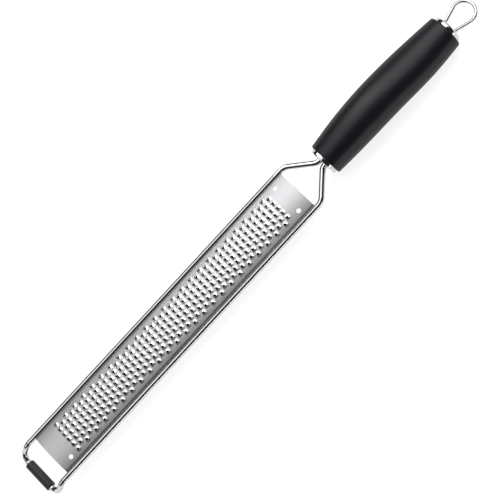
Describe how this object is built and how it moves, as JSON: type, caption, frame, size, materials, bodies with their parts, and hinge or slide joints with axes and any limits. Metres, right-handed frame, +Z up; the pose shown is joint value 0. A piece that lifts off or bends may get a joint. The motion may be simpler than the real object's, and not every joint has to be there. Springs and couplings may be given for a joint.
{
  "type": "grater",
  "caption": "Long fine hand grater: a bent steel wire frame carries a crowned toothed blade, with a round moulded handle, a rubber foot sleeve and a wire hanging loop.",
  "frame": {"origin": "middle of the bounding box in plan, on the table that the grater lies on", "axes": "+X along the tool from the foot to the hanging loop, +Y across it, +Z up from the table, through the blade's cutting side"},
  "size_m": [0.4002, 0.0378, 0.0271],
  "materials": {
    "polished_wire": "polished",
    "blade_steel": "satin, pressed and ground teeth",
    "cap_steel": "polished",
    "handle_black": "satin, soft to the touch",
    "foot_rubber": "matt"
  },
  "bodies": {
    "root": {"wire_frame": "polished_wire", "blade": "blade_steel", "foot_sleeve": "foot_rubber", "grip": "handle_black", "front_cap": "cap_steel", "end_cap": "cap_steel", "hanging_loop": "polished_wire"}
  },
  "joints": []
}
